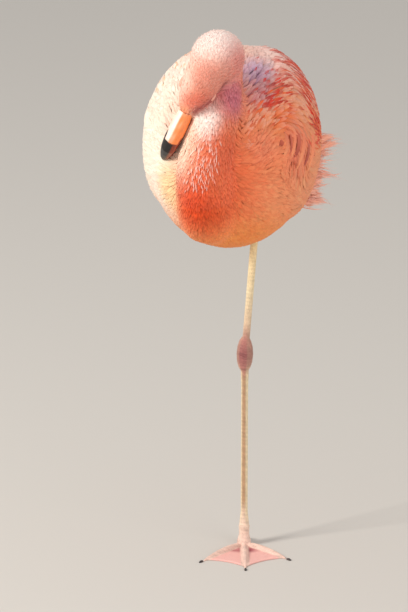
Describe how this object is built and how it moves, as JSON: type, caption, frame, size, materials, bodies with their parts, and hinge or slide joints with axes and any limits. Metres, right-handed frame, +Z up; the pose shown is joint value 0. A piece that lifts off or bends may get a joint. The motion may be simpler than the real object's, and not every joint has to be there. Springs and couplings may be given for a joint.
{
  "type": "flamingo",
  "caption": "Life-size flamingo asleep on one leg, a still model: round pink body, neck folded up in front, head hung over it with the bill tucked away.",
  "frame": {"origin": "on the sole of the standing foot, under the leg, at floor level", "axes": "+Z up along the standing leg; the bird faces -Y; +X is the bird's left"},
  "size_m": [0.2078, 0.4491, 0.685],
  "materials": {
    "plumage": "matte, soft feathers",
    "wing_plumage": "matte, soft feathers with red streaks",
    "pale_plumage": "matte, soft feathers",
    "black_feather": "satin",
    "bill": "satin horn, pale pink-orange with a black tip",
    "eye": "wet gloss",
    "leg_skin": "scaly, satin",
    "joint_skin": "scaly, satin",
    "foot_skin": "scaly, satin",
    "claw": "satin horn"
  },
  "bodies": {
    "root": {"trunk": "plumage", "wing_left": "wing_plumage", "wing_right": "wing_plumage", "tail": "wing_plumage", "primaries_left": "black_feather", "primaries_right": "black_feather", "plume_left": "pale_plumage", "neck_base": "plumage", "neck_middle": "plumage", "neck_upper": "plumage", "neck_bend": "pale_plumage", "head": "pale_plumage", "bill_upper": "bill", "bill_lower": "bill", "eye_left": "eye", "eye_right": "eye", "shank_left": "leg_skin", "ankle_left": "joint_skin", "tarsus_left": "leg_skin", "foot_left": "foot_skin", "hind_toe_left": "foot_skin", "claw_inner_left": "claw", "claw_middle_left": "claw", "claw_outer_left": "claw", "shank_right": "leg_skin", "ankle_right": "joint_skin", "tarsus_right": "leg_skin"}
  },
  "joints": []
}
